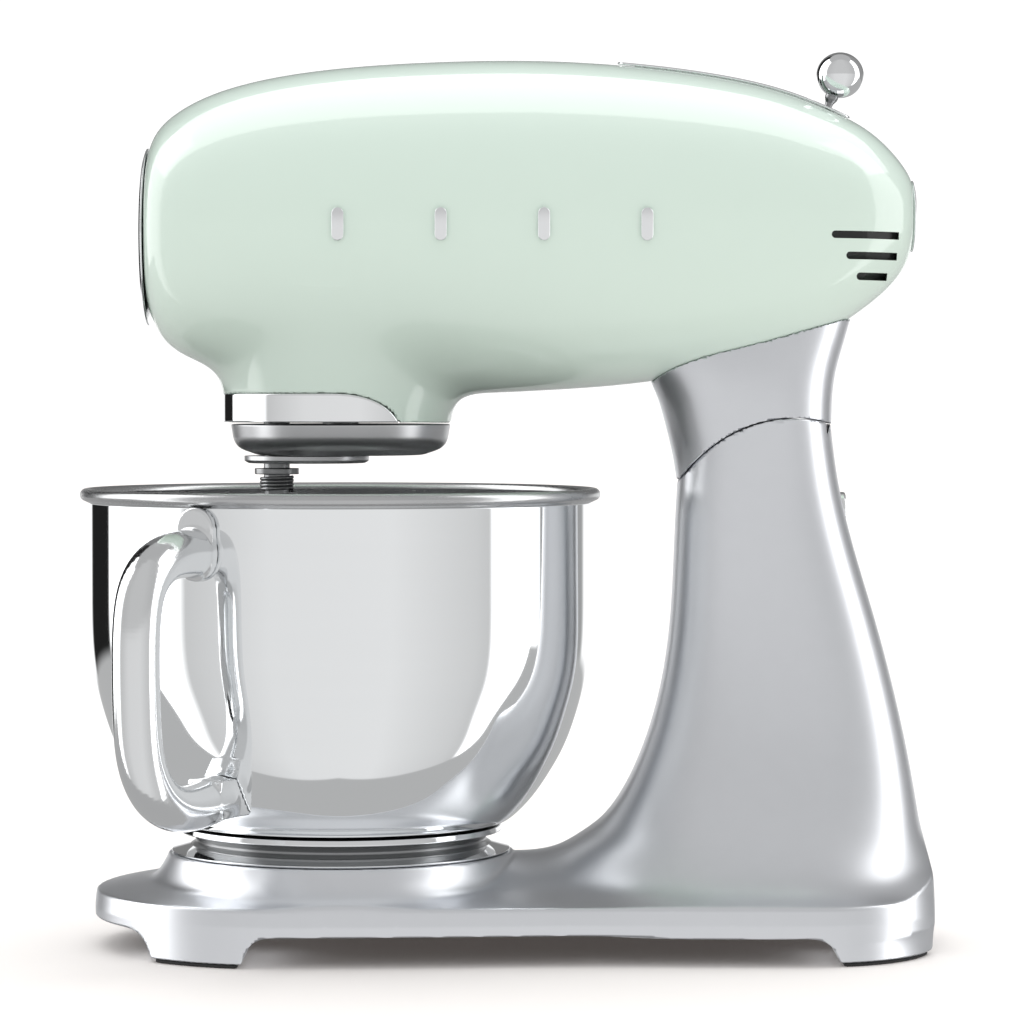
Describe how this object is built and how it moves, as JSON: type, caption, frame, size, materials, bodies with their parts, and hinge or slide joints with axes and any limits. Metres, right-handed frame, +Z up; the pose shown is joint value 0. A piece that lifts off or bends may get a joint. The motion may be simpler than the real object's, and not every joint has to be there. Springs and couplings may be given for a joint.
{
  "type": "stand mixer",
  "caption": "Tilt-head stand mixer with a rounded mint-green motor head, cast silver stand, planetary drive and a polished steel bowl with a side handle.",
  "frame": {"origin": "centre of the bounding box on the counter plane", "axes": "+Z up, nose of the head towards -X, handle side of the bowl towards -Y"},
  "size_m": [0.3762, 0.2572, 0.3897],
  "materials": {
    "mint_paint": "high gloss pale mint enamel",
    "satin_silver": "satin silver powder coat on cast aluminium",
    "chrome": "bright polished",
    "mirror_steel": "mirror polished stainless steel",
    "dark_metal": "dark satin",
    "steel": "ground",
    "cast_aluminium": "as cast",
    "black_plastic": "fine grain",
    "rubber": "matt",
    "winding": "lacquered copper winding on a laminated core",
    "board": "circuit board"
  },
  "bodies": {
    "stand": {"stand_casting": "satin_silver", "base_cover": "black_plastic", "foot_front_left": "rubber", "foot_front_right": "rubber", "foot_rear_left": "rubber", "foot_rear_right": "rubber", "cover_screw_1": "steel", "cover_screw_2": "steel", "cover_screw_3": "steel", "cover_screw_4": "steel", "bowl_seat": "steel", "hinge_pin": "steel", "cord_inlet": "rubber"},
    "bowl": {"bowl_shell": "mirror_steel", "foot_ring": "chrome", "bowl_handle": "chrome"},
    "release": {"release_button": "chrome"},
    "head": {"neck_casting": "satin_silver", "head_shell": "mint_paint", "hub_collar": "chrome", "speed_plate": "chrome", "rear_disc": "chrome", "vent_panel_left": "black_plastic", "vent_panel_right": "black_plastic", "trim_left_1": "chrome", "trim_left_2": "chrome", "trim_left_3": "chrome", "trim_left_4": "chrome", "trim_right_1": "chrome", "trim_right_2": "chrome", "trim_right_3": "chrome", "trim_right_4": "chrome", "gear_case": "cast_aluminium", "ring_gear": "steel", "lower_bearing": "steel", "upper_bearing": "steel", "motor_chassis": "cast_aluminium", "motor_stator": "steel", "motor_bearing_front": "steel", "motor_bearing_rear": "steel", "brush_ring": "black_plastic", "control_board": "board", "speed_track": "black_plastic", "power_housing": "cast_aluminium"},
    "lever": {"speed_lever": "chrome", "lever_knob": "chrome"},
    "planetary": {"main_shaft": "steel", "crown_gear": "steel", "planetary_dish": "dark_metal", "shaft_boss": "dark_metal"},
    "attachment": {"attachment_shaft": "steel", "planet_pinion": "steel", "drive_pin": "steel", "cup_spring": "steel"},
    "cup": {"spring_cup": "dark_metal"},
    "rotor": {"motor_shaft": "steel", "motor_armature": "winding", "cooling_fan": "black_plastic"},
    "power_hub": {"power_shaft": "steel"},
    "hub_cover": {"power_cover": "chrome"}
  },
  "joints": [
    {"name": "head_tilt", "type": "hinge", "parent": "stand", "child": "head", "pos_m": [0.12215, 0.0149, 0.1729], "axis": [0, 1, 0], "range_deg": [0, 34]},
    {"name": "bowl_twist", "type": "hinge", "parent": "stand", "child": "bowl", "pos_m": [-0.07435, 0.0149, 0.045], "axis": [0, 0, 1], "range_deg": [0, 35]},
    {"name": "release_press", "type": "slide", "parent": "stand", "child": "release", "axis": [-1, 0, 0], "range_m": [0, 0.0022], "stiffness_N_per_m": 900, "springref_m": -0.003},
    {"name": "speed_lever_slide", "type": "hinge", "parent": "head", "child": "lever", "pos_m": [0.04365, 0.0149, 0.151], "axis": [0, -1, 0], "range_deg": [0, 20.5]},
    {"name": "planetary_spin", "type": "hinge", "parent": "head", "child": "planetary", "pos_m": [-0.07435, 0.0149, 0.24], "axis": [0, 0, 1], "continuous": true},
    {"name": "attachment_spin", "type": "hinge", "parent": "planetary", "child": "attachment", "pos_m": [-0.10235, 0.0149, 0.23], "axis": [0, 0, 1], "continuous": true},
    {"name": "cup_slide", "type": "slide", "parent": "attachment", "child": "cup", "axis": [0, 0, 1], "range_m": [0, 0.004], "stiffness_N_per_m": 700, "springref_m": -0.003, "deforming": ["cup_spring"]},
    {"name": "motor_spin", "type": "hinge", "parent": "head", "child": "rotor", "pos_m": [0.04565, 0.0149, 0.309], "axis": [1, 0, 0], "continuous": true},
    {"name": "power_hub_spin", "type": "hinge", "parent": "head", "child": "power_hub", "pos_m": [-0.13435, 0.0149, 0.309], "axis": [1, 0, 0], "continuous": true},
    {"name": "hub_cover_pull", "type": "slide", "parent": "head", "child": "hub_cover", "axis": [-1, 0, 0], "range_m": [0, 0.03]}
  ],
  "couplings": [
    {"joint": "attachment_spin", "follows": "planetary_spin", "ratio": -3.8571},
    {"joint": "motor_spin", "follows": "planetary_spin", "ratio": 3},
    {"joint": "power_hub_spin", "follows": "planetary_spin", "ratio": -3}
  ]
}
